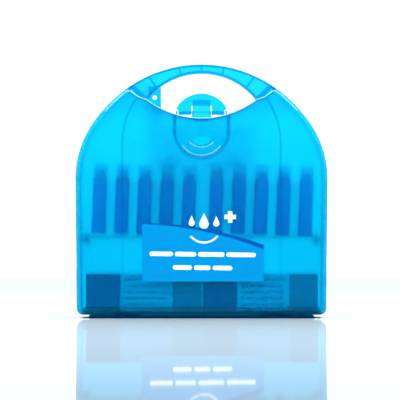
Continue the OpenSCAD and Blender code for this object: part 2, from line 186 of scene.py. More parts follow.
def place(name, mesh, material, body, replaced=(), bevel=0.0, segments=2, smooth_angle=32.0):
    """Makes a piece of a mesh: finish, softened edges, the body it rides on and the nodes it stands for."""
    obj = bpy.data.objects.new(name, mesh)
    scene.collection.objects.link(obj)
    mesh.materials.clear()
    mesh.materials.append(material)
    mesh.polygons.foreach_set("use_smooth", [True] * len(mesh.polygons))
    mesh.polygons.foreach_set("material_index", [0] * len(mesh.polygons))
    mesh.set_sharp_from_angle(angle=math.radians(smooth_angle))
    if bevel:
        m = obj.modifiers.new("softened_edges", "BEVEL")
        m.width = bevel * MM
        m.segments = segments
        m.limit_method = "ANGLE"
        m.angle_limit = math.radians(35)
        m.use_clamp_overlap = True
        m.harden_normals = True
    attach(obj, body)
    if replaced:
        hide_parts(*replaced)
    return obj


def merged_copy(node):
    """A copy of a CAD node's mesh with its loose triangles merged and its flat areas made whole faces."""
    work = bmesh.new()
    work.from_mesh(nodes[node].data)
    bmesh.ops.remove_doubles(work, verts=work.verts, dist=1e-6)
    bmesh.ops.dissolve_limit(
        work, angle_limit=math.radians(0.3), verts=work.verts, edges=work.edges, use_dissolve_boundaries=False
    )
    mesh = bpy.data.meshes.new(node + "_copy")
    work.to_mesh(mesh)
    work.free()
    return mesh


# ---------------------------------------------------------------- drawings in x and z
def arc(cx, cz, r, a, b, steps):
    """Points on a circle's arc after its start, with angles from +z towards +x."""
    t = a + (b - a) * np.arange(1, steps + 1) / steps
    return np.stack([cx + r * np.sin(t), cz + r * np.cos(t)], -1)


def outline(inset):
    """The case's outline: crown, flank and shoulder arcs, a leaning side and a bottom corner, mirrored."""
    side = np.linspace(0, 1, 8)[1:, None]
    shoulder = arc(SHOULDER_X, SHOULDER_Z, SHOULDER_R - inset, FLANK_A, SIDE_A, 30)
    r = CORNER_R - inset
    corner = np.array([CORNER_X + r * math.cos(LEAN), CORNER_Z - r * math.sin(LEAN)])
    right = np.concatenate([
        [[0, TOP - inset]],
        arc(0, CROWN_Z, CROWN_R - inset, 0, CROWN_A, 40),
        arc(FLANK_X, FLANK_Z, FLANK_R - inset, CROWN_A, FLANK_A, 10),
        shoulder,
        shoulder[-1] + (corner - shoulder[-1]) * side,
        arc(CORNER_X, CORNER_Z, r, SIDE_A, math.pi, 10),
    ])
    left = right[:0:-1] * [-1, 1]
    return np.concatenate([right, left])


def above_edge(out_x, out_z, drop):
    """The region above the hollow top edge's circle and above a line on each side, lowered by drop."""
    half_angle = math.asin(GRIP_CORNER_X / EDGE_R)
    t = np.linspace(-half_angle, half_angle, 61)
    low = np.stack([EDGE_R * np.sin(t), EDGE_CENTRE - drop - EDGE_R * np.cos(t)], -1)
    far = HALF + 20
    rise = (far - out_x) * SHOULDER_RISE
    right = np.array([[out_x, out_z - drop], [far, out_z - drop + rise], [far, TOP + 60]])
    return np.concatenate([low, right, right[::-1] * [-1, 1]])


def cover_edge(drop):
    """The cover's top edge: the hollow circle, a knee, then the rising shoulder line."""
    return above_edge(KNEE_X, KNEE_Z, drop)


def recess_shape(more):
    """The finger recess: a half circle below, open straight up."""
    t = np.linspace(math.pi / 2, 3 * math.pi / 2, 49)
    low = np.stack([(RECESS_HALF + more) * np.sin(t), RECESS_Z + (RECESS_HALF + more) * np.cos(t)], -1)
    high = RECESS_Z + 40
    return np.concatenate([low, [[-RECESS_HALF - more, high], [RECESS_HALF + more, high]]])


def panel_shape(less):
    """The raised middle panel: a rectangle under a circle of the same width."""
    r = PANEL_HALF - less
    t = np.linspace(-math.pi / 2, math.pi / 2, 81)
    high = np.stack([r * np.sin(t), PANEL_TOP + r * np.cos(t)], -1)
    low = BASE + 3 + less
    return np.concatenate([high, [[r, low], [-r, low]]])


def rectangle(x0, x1, z0, z1):
    """A rectangle's corners."""
    return np.array([[x0, z0], [x1, z0], [x1, z1], [x0, z1]])


def circle(cx, cz, r, steps=64):
    """Points round a circle."""
    t = np.linspace(0, 2 * math.pi, steps, endpoint=False)
    return np.stack([cx + r * np.sin(t), cz + r * np.cos(t)], -1)


# ---------------------------------------------------------------- finishes
def node_group(name, inputs, outputs):
    """An empty shader group with the given inputs and outputs."""
    group = bpy.data.node_groups.new(name, "ShaderNodeTree")
    for label, kind, value in inputs:
        s = group.interface.new_socket(name=label, in_out="INPUT", socket_type=kind)
        s.default_value = value
    for label, kind in outputs:
        group.interface.new_socket(name=label, in_out="OUTPUT", socket_type=kind)
    return group, group.nodes.new("NodeGroupInput"), group.nodes.new("NodeGroupOutput")


def link(tree, a, b):
    """Wires output a into input b."""
    tree.links.new(a, b)


def math_node(tree, how, a, b=None):
    """A sum node on two sockets or numbers, as its output."""
    n = tree.nodes.new("ShaderNodeMath")
    n.operation = how
    for i, v in enumerate((a, b)):
        if v is None:
            continue
        if isinstance(v, (int, float)):
            n.inputs[i].default_value = v
        else:
            link(tree, v, n.inputs[i])
    return n.outputs[0]


def times(tree, a, b):
    """a times b."""
    return math_node(tree, "MULTIPLY", a, b)


def plus(tree, a, b):
    """a plus b."""
    return math_node(tree, "ADD", a, b)


def minus(tree, a, b):
    """a less b."""
    return math_node(tree, "SUBTRACT", a, b)


def mix_colour(tree, factor, a, b):
    """Colour a where the factor is 0 and b where it is 1; each is a socket or a value."""
    n = tree.nodes.new("ShaderNodeMix")
    n.data_type = "RGBA"
    for sock, v in ((n.inputs[0], factor), (n.inputs[6], a), (n.inputs[7], b)):
        if isinstance(v, (int, float, tuple)):
            sock.default_value = v
        else:
            link(tree, v, sock)
    return n.outputs[2]


def make_moulded_group():
    """Moulded plastic: slow flow clouds shift the colour, and an orange-peel skin roughens it."""
    group, gin, gout = node_group(
        "moulded_skin",
        [
            ("Colour", "NodeSocketColor", (0.5, 0.5, 0.5, 1)),
            ("Cloud Colour", "NodeSocketColor", (0.5, 0.5, 0.5, 1)),
            ("Cloud", "NodeSocketFloat", 0.2),
            ("Roughness", "NodeSocketFloat", 0.3),
            ("Roughness Spread", "NodeSocketFloat", 0.05),
        ],
        [("Colour", "NodeSocketColor"), ("Roughness", "NodeSocketFloat"), ("Height", "NodeSocketFloat")],
    )
    coord = group.nodes.new("ShaderNodeTexCoord").outputs["Object"]
    clouds = group.nodes.new("ShaderNodeTexNoise")
    clouds.inputs["Scale"].default_value = 32
    clouds.inputs["Detail"].default_value = 3
    peel = group.nodes.new("ShaderNodeTexNoise")
    peel.inputs["Scale"].default_value = 900
    peel.inputs["Detail"].default_value = 2
    for n in (clouds, peel):
        link(group, coord, n.inputs["Vector"])
    amount = times(group, clouds.outputs["Fac"], gin.outputs["Cloud"])
    colour = mix_colour(group, amount, gin.outputs["Colour"], gin.outputs["Cloud Colour"])
    link(group, colour, gout.inputs["Colour"])
    spread = times(group, minus(group, clouds.outputs["Fac"], 0.5), gin.outputs["Roughness Spread"])
    link(group, plus(group, gin.outputs["Roughness"], spread), gout.inputs["Roughness"])
    link(group, peel.outputs["Fac"], gout.inputs["Height"])
    return group


MOULDED = make_moulded_group()


def new_material(name):
    """A material with its node tree and its Principled shader."""
    m = bpy.data.materials.new(name)
    m.use_nodes = True
    return m, m.node_tree, m.node_tree.nodes["Principled BSDF"]


def plastic(name, colour, cloud_colour, roughness, transmission=0.0, ior=1.49, peel=0.02, depth=None):
    """A moulded plastic, clear or opaque, with the moulded skin over it.

    depth is what a millimetre of the clear resin takes out of red, green and blue light, so thick places
    and long ways through it look deeper.
    """
    m, tree, shader = new_material(name)
    skin = tree.nodes.new("ShaderNodeGroup")
    skin.node_tree = MOULDED
    skin.inputs["Colour"].default_value = (*colour, 1)
    skin.inputs["Cloud Colour"].default_value = (*cloud_colour, 1)
    skin.inputs["Cloud"].default_value = 0.35
    skin.inputs["Roughness"].default_value = roughness
    link(tree, skin.outputs["Colour"], shader.inputs["Base Color"])
    link(tree, skin.outputs["Roughness"], shader.inputs["Roughness"])
    bump = tree.nodes.new("ShaderNodeBump")
    bump.inputs["Distance"].default_value = peel * MM
    bump.inputs["Strength"].default_value = 0.6
    link(tree, skin.outputs["Height"], bump.inputs["Height"])
    link(tree, bump.outputs["Normal"], shader.inputs["Normal"])
    shader.inputs["Transmission Weight"].default_value = transmission
    shader.inputs["IOR"].default_value = ior
    if depth:
        inside = tree.nodes.new("ShaderNodeVolumeAbsorption")
        most = max(depth)
        inside.inputs["Color"].default_value = (*[1 - d / most for d in depth], 1)
        inside.inputs["Density"].default_value = most / MM
        link(tree, inside.outputs[0], tree.nodes["Material Output"].inputs["Volume"])
    m.diffuse_color = (*colour, 1)
    return m


CLEAR = (0.04, 0.84, 1.0)
DEEP = (0.03, 0.80, 0.995)
RESIN = (0.62, 0.018, 0.003)


def places(material):
    """The material's tree and the object's x, y and z."""
    tree = material.node_tree
    sep = tree.nodes.new("ShaderNodeSeparateXYZ")
    link(tree, tree.nodes.new("ShaderNodeTexCoord").outputs["Object"], sep.inputs[0])
    return tree, *sep.outputs


def fade(tree, value, none_at, full_at):
    """0 where the value is at none_at millimetres, 1 at full_at, eased between."""
    n = tree.nodes.new("ShaderNodeMapRange")
    n.interpolation_type = "SMOOTHSTEP"
    n.inputs["From Min"].default_value = none_at * MM
    n.inputs["From Max"].default_value = full_at * MM
    link(tree, value, n.inputs["Value"])
    return n.outputs[0]


def away(tree, x, z, centre, r, straight=0):
    """Distance from a circle's line about (0, centre), its sides run straight down for 1 or up for -1."""
    rise = minus(tree, z, centre * MM)
    if straight:
        rise = math_node(tree, "MAXIMUM", times(tree, rise, float(straight)), 0.0)
    square = plus(tree, times(tree, x, x), times(tree, rise, rise))
    return math_node(tree, "ABSOLUTE", minus(tree, math_node(tree, "SQRT", square), r * MM))


def tint(material, mask, colour, share=1.0):
    """Mixes a colour over the material's own where the mask is 1."""
    tree = material.node_tree
    socket = tree.nodes["Principled BSDF"].inputs["Base Color"]
    own = socket.links[0].from_socket
    link(tree, mix_colour(tree, times(tree, mask, share), own, (*colour, 1)), socket)


def paint_cover_shade_and_haze(material):
    """Painted shade: the cover darkens towards its foot, with darker painted shade lines where it is seen
    edge on, along the middle panel's edge and the recess's wall; also more haze above it."""
    tree, x, y, z = places(material)
    # painted shade: the cover's colour darkens from its top towards its foot
    tint(material, fade(tree, z, 205, 55), (0.02, 0.64, 0.90))
    ahead = fade(tree, y, FRONT + 5.5, FRONT + 4.5)
    # painted shade: a darker line along the middle panel's step, where the crease is shaded
    panel = fade(tree, away(tree, x, z, PANEL_TOP, PANEL_HALF + 0.3, 1), 1.5, 0.4)
    panel = times(tree, times(tree, panel, fade(tree, z, 6, 8)), ahead)
    tint(material, panel, (0.0, 0.55, 0.86), 0.8)
    shader = tree.nodes["Principled BSDF"]
    haze = times(tree, fade(tree, z, 78, 140), 0.09)
    own = shader.inputs["Roughness"].links[0].from_socket
    link(tree, plus(tree, own, haze), shader.inputs["Roughness"])
    # painted shade: a darker line along the recess's wall
    recess_wall_shade = fade(tree, away(tree, x, z, RECESS_Z, RECESS_HALF - 0.6, -1), 1.7, 0.9)
    tint(material, recess_wall_shade, (0.0, 0.56, 0.90), 0.6)


def shade_foot_and_deepen_handle(material):
    """The handle is a little deeper in colour than the case; the foot of the case is darkened with painted
    shade where it meets the floor.
    """
    tree, *_, z = places(material)
    tint(material, fade(tree, z, 205, 212), (0.03, 0.68, 0.97), 0.9)
    # painted shade: the case darkens towards the floor
    tint(material, fade(tree, z, 10, 5), (0.0, 0.35, 0.60), 0.8)


def deepen_ear(material):
    """The part that stands out over the case is deeper than what lies behind it."""
    tree, *_, z = places(material)
    tint(material, fade(tree, z, 200, 206), (0.0, 0.62, 0.97))


def lighten_tab(material):
    """The pods' necks and tabs are thin, so they look lighter than the filled bodies."""
    tree, *_, z = places(material)
    tint(material, fade(tree, z, POD_FOOT + 54, POD_FOOT + 62), (0.25, 0.84, 1.0), 0.85)


def blue_shine(material, colour=(0.0, 0.35, 0.75)):
    """The resin's own blue in what it mirrors."""
    material.node_tree.nodes["Principled BSDF"].inputs["Specular Tint"].default_value = (*colour, 1)


POD_FOOT = span("pod_strip_front_left")[0][2]
case_front_finish = plastic("case_front_finish", CLEAR, DEEP, 0.27, transmission=0.95, ior=1.36, depth=RESIN)
paint_cover_shade_and_haze(case_front_finish)
case_back_finish = plastic("case_back_finish", CLEAR, DEEP, 0.30, transmission=0.95, ior=1.36, depth=RESIN)
shade_foot_and_deepen_handle(case_back_finish)
latch_finish = plastic(
    "latch_finish", (0.03, 0.64, 0.98), (0.02, 0.60, 0.97), 0.2,
    transmission=0.94, ior=1.18, depth=(0.5, 0.02, 0.003)
)
bracket_finish = plastic(
    "bracket_finish", (0.3, 0.93, 1.0), (0.25, 0.90, 1.0), 0.3,
    transmission=0.95, ior=1.36, depth=(0.4, 0.03, 0.002)
)
deepen_ear(bracket_finish)
shelf_finish = plastic("shelf_finish", (0.80, 0.97, 1.0), (0.72, 0.95, 1.0), 0.2, transmission=0.97, ior=1.15)
pod_finish = plastic(
    "pod_finish", (0.05, 0.62, 0.97), (0.04, 0.56, 0.94), 0.3,
    transmission=0.87, ior=1.25, peel=0.05
)
lighten_tab(pod_finish)
web_finish = plastic(
    "web_finish", (0.85, 0.97, 1.0), (0.80, 0.96, 1.0), 0.3,
    transmission=0.97, ior=1.15, peel=0.05
)
# dark navy rubber feet and foot strip; the dark strip also paints the contact shade line along the case's
# foot
feet_and_contact_shade_finish = plastic("feet_and_contact_shade_finish", (0.0, 0.07, 0.20), (0.005, 0.09, 0.24), 0.55, peel=0.06)
steel_finish = plastic("steel_finish", (0.62, 0.63, 0.65), (0.5, 0.51, 0.53), 0.28)
steel_finish.node_tree.nodes["Principled BSDF"].inputs["Metallic"].default_value = 1.0
# pale, partly clear finish whose whiter colour paints the highlights along the cover's edge and the recess's
# rims
highlight_lip_finish = plastic("highlight_lip_finish", (0.58, 0.95, 1.0), (0.50, 0.93, 1.0), 0.25, transmission=0.35, ior=1.3)
pin_finish = plastic("pin_finish", (0.8, 0.98, 1.0), (0.7, 0.96, 1.0), 0.25, transmission=0.95, ior=1.08)
pad_finish = plastic("pad_finish", (0.85, 0.9, 0.92), (0.75, 0.82, 0.86), 0.6)

for each in (case_front_finish, case_back_finish, latch_finish, bracket_finish, pod_finish, feet_and_contact_shade_finish):
    blue_shine(each)


def carton_material(name, left, right):
    """Printed card: dark-blue, pale and teal panels, rows of marks on the pale one, and a fibre grain."""
    m, tree, shader = new_material(name)
    coord = tree.nodes.new("ShaderNodeTexCoord").outputs["Object"]
    sep = tree.nodes.new("ShaderNodeSeparateXYZ")
    link(tree, coord, sep.inputs[0])
    x = sep.outputs[0]
    z = sep.outputs[2]
    wide = (right - left) * MM
    u = math_node(tree, "DIVIDE", minus(tree, x, left * MM), wide)
    first = math_node(tree, "LESS_THAN", u, 35 / 117)
    last = math_node(tree, "GREATER_THAN", u, 88 / 117)
    colour = mix_colour(tree, first, (0.85, 0.97, 1.0, 1), (0.01, 0.12, 0.36, 1))
    colour = mix_colour(tree, last, colour, (0.05, 0.33, 0.46, 1))
    middle = times(
        tree, math_node(tree, "GREATER_THAN", u, 39 / 117), math_node(tree, "LESS_THAN", u, 82 / 117)
    )
    wave = math_node(tree, "SINE", times(tree, z, 2 * math.pi / (6.2 * MM)))
    rows = math_node(tree, "GREATER_THAN", wave, 0.25)
    marks = tree.nodes.new("ShaderNodeTexNoise")
    marks.inputs["Scale"].default_value = 420
    link(tree, coord, marks.inputs["Vector"])
    ink = times(tree, times(tree, rows, middle), math_node(tree, "GREATER_THAN", marks.outputs["Fac"], 0.48))
    colour = mix_colour(tree, times(tree, ink, 0.75), colour, (0.03, 0.16, 0.30, 1))
    fibre = tree.nodes.new("ShaderNodeTexNoise")
    fibre.inputs["Scale"].default_value = 1500
    fibre.inputs["Detail"].default_value = 4
    link(tree, coord, fibre.inputs["Vector"])
    colour = mix_colour(tree, times(tree, fibre.outputs["Fac"], 0.12), colour, (0.9, 0.93, 0.95, 1))
    link(tree, colour, shader.inputs["Base Color"])
    link(tree, plus(tree, times(tree, fibre.outputs["Fac"], 0.25), 0.35), shader.inputs["Roughness"])
    bump = tree.nodes.new("ShaderNodeBump")
    bump.inputs["Distance"].default_value = 0.05 * MM
    link(tree, fibre.outputs["Fac"], bump.inputs["Height"])
    link(tree, bump.outputs["Normal"], shader.inputs["Normal"])
    return m


def label_material():
    """The sticker: mid blue under gloss film, a darker band under its curved top that widens to the right."""
    m, tree, shader = new_material("label_finish")
    coord = tree.nodes.new("ShaderNodeTexCoord").outputs["Object"]
    sep = tree.nodes.new("ShaderNodeSeparateXYZ")
    link(tree, coord, sep.inputs[0])
    cx, cz, r = LABEL_ARC_X * MM, (LABEL_ARC_TOP - LABEL_ARC_R) * MM, LABEL_ARC_R * MM
    dx = minus(tree, sep.outputs[0], cx)
    dz = minus(tree, sep.outputs[2], cz)
    far = math_node(tree, "SQRT", plus(tree, times(tree, dx, dx), times(tree, dz, dz)))
    depth = minus(tree, r, far)
    edge = plus(tree, times(tree, dx, 0.026), 1.0 * MM)
    band = math_node(tree, "LESS_THAN", depth, edge)
    film = tree.nodes.new("ShaderNodeTexNoise")
    film.inputs["Scale"].default_value = 25
    link(tree, coord, film.inputs["Vector"])
    cloud = times(tree, film.outputs["Fac"], 0.3)
    colour = mix_colour(tree, cloud, (0.0, 0.25, 0.60, 1), (0.0, 0.29, 0.66, 1))
    colour = mix_colour(tree, band, colour, (0.0, 0.08, 0.36, 1))
    link(tree, colour, shader.inputs["Base Color"])
    link(tree, plus(tree, times(tree, film.outputs["Fac"], 0.1), 0.22), shader.inputs["Roughness"])
    fine = tree.nodes.new("ShaderNodeTexNoise")
    fine.inputs["Scale"].default_value = 1200
    link(tree, coord, fine.inputs["Vector"])
    bump = tree.nodes.new("ShaderNodeBump")
    bump.inputs["Distance"].default_value = 0.01 * MM
    link(tree, fine.outputs["Fac"], bump.inputs["Height"])
    link(tree, bump.outputs["Normal"], shader.inputs["Normal"])
    return m


label_finish = label_material()
blue_shine(label_finish, (0.1, 0.5, 0.9))
print_finish = plastic("print_finish", (0.93, 0.98, 1.0), (0.86, 0.94, 1.0), 0.4, peel=0.01)


# ---------------------------------------------------------------- the front cover
def cover_form(shrink, y_back, y_front, round_r, draft):
    """The outline carried forward with a slight taper, then rounded to the front face by a quarter circle."""
    rings = [stand_ring(outline(shrink), y_back)]
    y_round = y_front + round_r
    full = abs(y_back - y_front)
    for t in (0.35, 0.7):
        narrow = draft * t * abs(y_back - y_round) / full
        rings.append(stand_ring(outline(shrink + narrow), y_back + (y_round - y_back) * t))
    base = shrink + draft * abs(y_back - y_round) / full
    for i in range(13):
        a = math.pi / 2 * i / 12
        rings.append(stand_ring(outline(base + round_r * (1 - math.cos(a))), y_round - round_r * math.sin(a)))
    return loft(rings)


def cut_form(verts_faces):
    """A closed solid to cut or join with."""
    return raw_mesh("cutter", *verts_faces)


def make_cover():
    """Outer form less inner form, then the top edge, side panels, recess, dimple and window are cut."""
    shell = cut_form(cover_form(0.0, PARTING, FRONT, FRONT_ROUND, TAPER))
    inside = cut_form(cover_form(WALL, PARTING + 1, INNER_FRONT, 5.0, TAPER))
    inside = boolean(inside, cut_form(prism(cover_edge(WALL), FRONT - 2, PARTING + 3)), "DIFFERENCE")
    shell = boolean(shell, inside, "DIFFERENCE")
    block = cut_form(prism(recess_shape(WALL - 0.2), FRONT + 1, RECESS_Y + WALL, recess_shape(WALL - 1.4)))
    shell = boolean(shell, block, "UNION")
    shell = boolean(shell, cut_form(prism(cover_edge(0), FRONT - 3, PARTING + 3)), "DIFFERENCE")
    slab = cut_form(prism(rectangle(-150, 150, -10, 280), FRONT - 1, FRONT + PANEL_STEP))
    panel = cut_form(prism(panel_shape(0.9), FRONT - 2, FRONT + PANEL_STEP + 1, panel_shape(-0.7)))
    slab = boolean(slab, panel, "DIFFERENCE")
    shell = boolean(shell, slab, "DIFFERENCE")
    hollow = cut_form(prism(recess_shape(0.0), FRONT - 1, RECESS_FLOOR, recess_shape(-1.6)))
    shell = boolean(shell, hollow, "DIFFERENCE")
    wide, narrow = circle(0, RECESS_Z, DIMPLE_R), circle(0, RECESS_Z, DIMPLE_R - 1.3)
    dimple = cut_form(prism(wide, RECESS_Y - 3, RECESS_Y + 0.7, narrow))
    rib_right = np.array([[1, RECESS_Z - 5], [1, EDGE_Z - 3], [4, EDGE_Z - 3], [4, EDGE_Z + 9]])
    rib_left = rib_right[::-1] * [-1, 1]
    rib = np.concatenate([rib_left[-1:], rib_right, rib_left[:-1]])
    dimple = boolean(dimple, cut_form(prism(rib, RECESS_FLOOR, RECESS_Y + 1.4)), "DIFFERENCE")
    shell = boolean(shell, dimple, "DIFFERENCE")
    t = np.linspace(math.radians(126), math.radians(234), 21)
    low = np.stack([WINDOW_R * np.sin(t), RECESS_Z + WINDOW_R * np.cos(t)], -1)
    low = low[np.abs(low[:, 0]) <= WINDOW_HALF]
    side_low = RECESS_Z - math.sqrt(WINDOW_R ** 2 - WINDOW_HALF ** 2)
    right = np.array([[WINDOW_HALF, WINDOW_TOP], [WINDOW_HALF, side_low]])
    window = np.concatenate([right, low, right[::-1] * [-1, 1]])
    shell = boolean(shell, cut_form(prism(window, RECESS_Y - 3, RECESS_Y + WALL + 2)), "DIFFERENCE")
    return shell


def add_knuckles(shell):
    """The cover's hinge knuckles, its foot strip's land and holes, and room for the rear shell's knuckles."""
    half = FOOT_X + 8.5
    land = prism(rectangle(-half, half, BASE + 0.02, BASE + 1.5), FOOT_Y - 3.5, FOOT_Y + 3.5)
    shell = boolean(shell, cut_form(land), "UNION")
    t = np.linspace(0, 2 * math.pi, 40, endpoint=False)
    around = np.stack([np.zeros(40), np.sin(t), np.cos(t)], -1)
    axis = np.array([0, PARTING, BASE])
    for s in (-1, 1):
        for x in (REAR_KNUCKLE_X, COVER_KNUCKLE_X + COVER_KNUCKLE_LONG + RUN_GAP):
            a, b = sorted((s * (x - RUN_GAP), s * (x + REAR_KNUCKLE_LONG + RUN_GAP)))
            room = prism(rectangle(a, b, BASE - 4, BASE + 3.1), PARTING - 3, PARTING + 1)
            shell = boolean(shell, cut_form(room), "DIFFERENCE")
        a, b = sorted((s * COVER_KNUCKLE_X, s * (COVER_KNUCKLE_X + COVER_KNUCKLE_LONG)))
        ring = axis + around * KNUCKLE_R
        knuckle = loft([ring + [a, 0, 0], ring + [b, 0, 0]])
        shell = boolean(shell, cut_form(knuckle), "UNION")
        tab = prism(rectangle(a, b, BASE - 0.6, BASE + WALL), PARTING - 6, PARTING)
        shell = boolean(shell, cut_form(tab), "UNION")
        ring = axis + around * PIN_BORE_R
        bore = loft([ring + [a - 2, 0, 0], ring + [b + 2, 0, 0]])
        shell = boolean(shell, cut_form(bore), "DIFFERENCE")
        stem = around[:, [1, 2, 0]] * STEM_BORE_R + [s * FOOT_X, FOOT_Y, 0]
        stem = loft([stem + [0, 0, BASE - 1], stem + [0, 0, BASE + WALL + 1]])
        shell = boolean(shell, cut_form(stem), "DIFFERENCE")
    return shell


cover_mesh = add_knuckles(make_cover())
place("case_front", cover_mesh, case_front_finish, "cover", ["front_cover"], bevel=0.3)


# ---------------------------------------------------------------- the rear shell
def make_rear():
    """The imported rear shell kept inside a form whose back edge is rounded."""
    rings = [stand_ring(outline(-0.6), PARTING - 1), stand_ring(outline(-0.6), BACK - 4)]
    for i in range(9):
        a = math.pi / 2 * i / 8
        rings.append(stand_ring(outline(-0.5 + 3.9 * (1 - math.cos(a))), BACK - 3.2 + 3.3 * math.sin(a)))
    form = cut_form(loft(rings))
    low = cut_form(prism(rectangle(-95, 95, -1, 12), PARTING - 4, BACK - 8))
    form = boolean(form, low, "UNION")
    return boolean(merged_copy("rear_shell"), form, "INTERSECT")


place("case_back", make_rear(), case_back_finish, "case", ["rear_shell"], bevel=0.25)
place("latch_tab", merged_copy("latch"), latch_finish, "latch", ["latch"], bevel=0.45, segments=3)
place(
    "hanger", merged_copy("wall_bracket"), bracket_finish, "bracket", ["wall_bracket"],
    bevel=0.5, segments=3,
)
place("shelf", merged_copy("pod_shelf"), shelf_finish, "case", ["pod_shelf"], bevel=0.25)
place("tray", merged_copy("carton_tray"), shelf_finish, "case", ["carton_tray"], bevel=0.2)
for node, body, finish in (
    ("hinge_pin_left", "case", steel_finish), ("hinge_pin_right", "case", steel_finish),
    ("latch_pin", "case", pin_finish), ("rear_feet", "case", feet_and_contact_shade_finish),
    ("cover_feet", "cover", feet_and_contact_shade_finish), ("shelf_screws", "case", steel_finish),
):
    place(node + "_piece", merged_copy(node), finish, body, [node], bevel=0.25)


# ---------------------------------------------------------------- the pods
def pod_rings(steps=28):
    """One pod from below up: a flat-sided body with rounded ends, shoulders, a round neck and a flat tab."""
    t = np.linspace(0, 2 * math.pi, steps, endpoint=False)
    c, s = np.cos(t), np.sin(t)
    rows = []
    profile = [
        (0.0, 0.05, 0.3), (0.0, 5.4, 8.6), (0.4, 6.7, 11.0), (1.2, 7.15, 11.8), (2.4, 7.25, 12.0),
        (15, 7.1, 11.95), (29, 7.0, 11.85), (43, 7.1, 11.9), (53, 7.25, 12.0), (55.4, 7.05, 11.4),
        (57.0, 6.5, 9.6), (58.0, 5.6, 6.6), (58.8, 4.9, 4.2), (59.6, 5.9, 1.4), (60.4, 6.5, 0.75),
        (62.4, 6.6, 0.6), (64.6, 6.5, 0.55), (66.6, 6.6, 0.6), (67.3, 6.6, 1.1), (67.9, 6.6, 1.45),
        (69.1, 6.6, 1.45), (69.8, 6.3, 1.1), (70.0, 5.4, 0.6), (70.0, 0.05, 0.02),
    ]
    for z, a, b in profile:
        p = 0.6 if 1 < z < 57 else 0.8
        wide = a * np.sign(c) * np.abs(c) ** p
        deep = b * np.sign(s) * np.abs(s) ** p
        rows.append(np.stack([wide, deep, np.full(steps, z)], -1))
    return rows


def make_strip(node):
    """Five pods side by side, joined by thin webs, leaning a little to the right."""
    low, high = span(node)
    verts, faces = loft(pod_rings())
    all_v, all_f, offset = [], [], 0
    for i in range(-2, 3):
        all_v.append(verts + [i * POD_PITCH, 0, 0])
        all_f += [[k + offset for k in f] for f in faces]
        offset += len(verts)
    x = np.linspace(-2 * POD_PITCH, 2 * POD_PITCH, 41)
    wave = 0.15 * np.cos(x / POD_PITCH * 2 * math.pi)
    there = np.stack([x, np.full(41, -0.5), np.full(41, 2.0)], -1)
    ring = np.concatenate([there, there[::-1] * [1, -1, 1]])
    top = ring.copy()
    top[:, 2] = 52 + np.concatenate([wave, wave[::-1]])
    web_v, web_f = loft([ring, top])
    v = np.concatenate(all_v)
    pods_end = len(v)
    v = np.concatenate([v, web_v])
    c, s = math.cos(POD_LEAN), math.sin(POD_LEAN)
    turned = np.stack([v[:, 0] * c + v[:, 2] * s, v[:, 1], v[:, 2] * c - v[:, 0] * s], -1)
    mid_y = (low[1] + high[1]) / 2
    shift_x = (low[0] + high[0]) / 2 - (turned[:, 0].min() + turned[:, 0].max()) / 2
    turned += [shift_x, mid_y, low[2] - turned[:, 2].min()]
    pods = raw_mesh(node + "_mesh", turned[:pods_end], all_f)
    return pods, raw_mesh(node + "_web_mesh", turned[pods_end:], web_f)


for name in ("front_left", "front_right", "rear_left", "rear_right"):
    node = "pod_strip_" + name
    pods, webs = make_strip(node)
    place("pods_" + name, pods, pod_finish, "case", [node], smooth_angle=50)
    place("pod_webs_" + name, webs, web_finish, "case", smooth_angle=50)


# ---------------------------------------------------------------- the cartons and what they hold
def make_pads(node):
    """Four soft wrapped pads, each a pillow whose thickness falls towards its edges."""
    low, high = span(node)
    n, m = 33, 21
    u, v = np.meshgrid(np.linspace(-1, 1, n), np.linspace(-1, 1, m), indexing="ij")
    fall = (1 - np.abs(u) ** 6) * (1 - np.abs(v) ** 6)
    cx, cy = (low[0] + high[0]) / 2, (low[1] + high[1]) / 2
    hx, hy = (high[0] - low[0]) / 2, (high[1] - low[1]) / 2
    all_v, all_f, offset = [], [], 0
    edge = grid_quads(n, m, ring=False).tolist()
    rim = np.arange(n * m).reshape(n, m)
    rim = np.concatenate([rim[0], rim[1:, -1], rim[-1, -2::-1], rim[-2:0:-1, 0]]).tolist()
    for i in range(4):
        mid = low[2] + 3.95 + i * 8.2
        thick = 0.35 + 3.5 * np.sqrt(np.clip(fall, 0, 1)) * (1 - 0.05 * np.cos(u * 9) * np.cos(v * 7))
        upper = np.stack([cx + hx * u, cy + hy * v, mid + thick], -1).reshape(-1, 3)
        lower = np.stack([cx + hx * u, cy + hy * v, mid - thick], -1).reshape(-1, 3)
        faces = edge + [[k + n * m for k in f[::-1]] for f in edge]
        for k, here in enumerate(rim):
            after = rim[(k + 1) % len(rim)]
            faces.append([here, after, after + n * m, here + n * m])
        all_v += [upper, lower]
        all_f += [[k + offset for k in f] for f in faces]
        offset += 2 * n * m
    return raw_mesh(node + "_mesh", np.concatenate(all_v), all_f)


for side in ("left", "right"):
    carton, held = "carton_" + side, "eye_pads_" + side
    low, high = span(carton)
    finish = carton_material("carton_finish_" + side, low[0], high[0])
    place(carton + "_piece", merged_copy(carton), finish, "case", [carton], bevel=0.3)
    pads = place("pads_" + side, make_pads(held), pad_finish, "case", [held], smooth_angle=60)


# ---------------------------------------------------------------- the sticker and its pictures
def ribbon(points, width):
    """The two long edges of a flat band of the given width along a line."""
    p = np.asarray(points, float)
    d = np.gradient(p, axis=0)
    n = np.stack([-d[:, 1], d[:, 0]], -1) / np.linalg.norm(d, axis=1)[:, None]
    return p + n * width / 2, p - n * width / 2


def band_solid(a, b, y_back, y_front):
    """The band between lines a and b, from y_back to y_front, each one number or one for every point."""
    corners = (a, y_back), (a, y_front), (b, y_front), (b, y_back)
    return loft(np.stack([stand_ring(line, y) for line, y in corners], 1))


